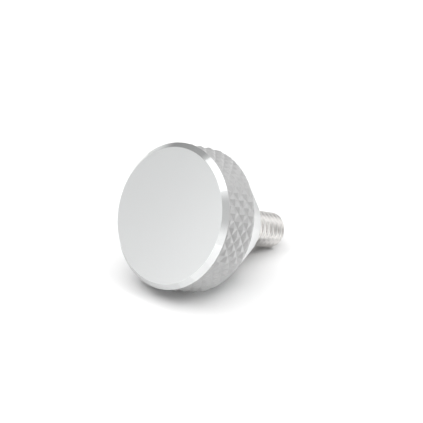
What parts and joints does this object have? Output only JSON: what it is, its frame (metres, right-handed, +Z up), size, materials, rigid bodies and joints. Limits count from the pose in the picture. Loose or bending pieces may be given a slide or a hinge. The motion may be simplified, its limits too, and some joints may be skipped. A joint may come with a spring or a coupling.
{
  "type": "thumb screw",
  "caption": "Thumb screw with a flat-faced, diamond-knurled round head that tapers behind to a seating face, and a short threaded stud.",
  "frame": {"origin": "on the surface that the screw lies on, under the middle of its overall box", "axes": "+X level, the way the stud points; +Z up. The screw lies on its side, on the rear edge of its knurl and the rim of its tip, so its own axis points along +X and 24.24 degrees below it"},
  "size_m": [0.0198, 0.0156, 0.0158],
  "materials": {
    "head": "turned aluminium, satin face and rear cone, fine matt knurl, bright diamond-cut chamfer round the face",
    "stud": "rolled stainless thread, satin with bright flanks"
  },
  "bodies": {
    "root": {"head": "head", "stud": "stud"}
  },
  "joints": []
}
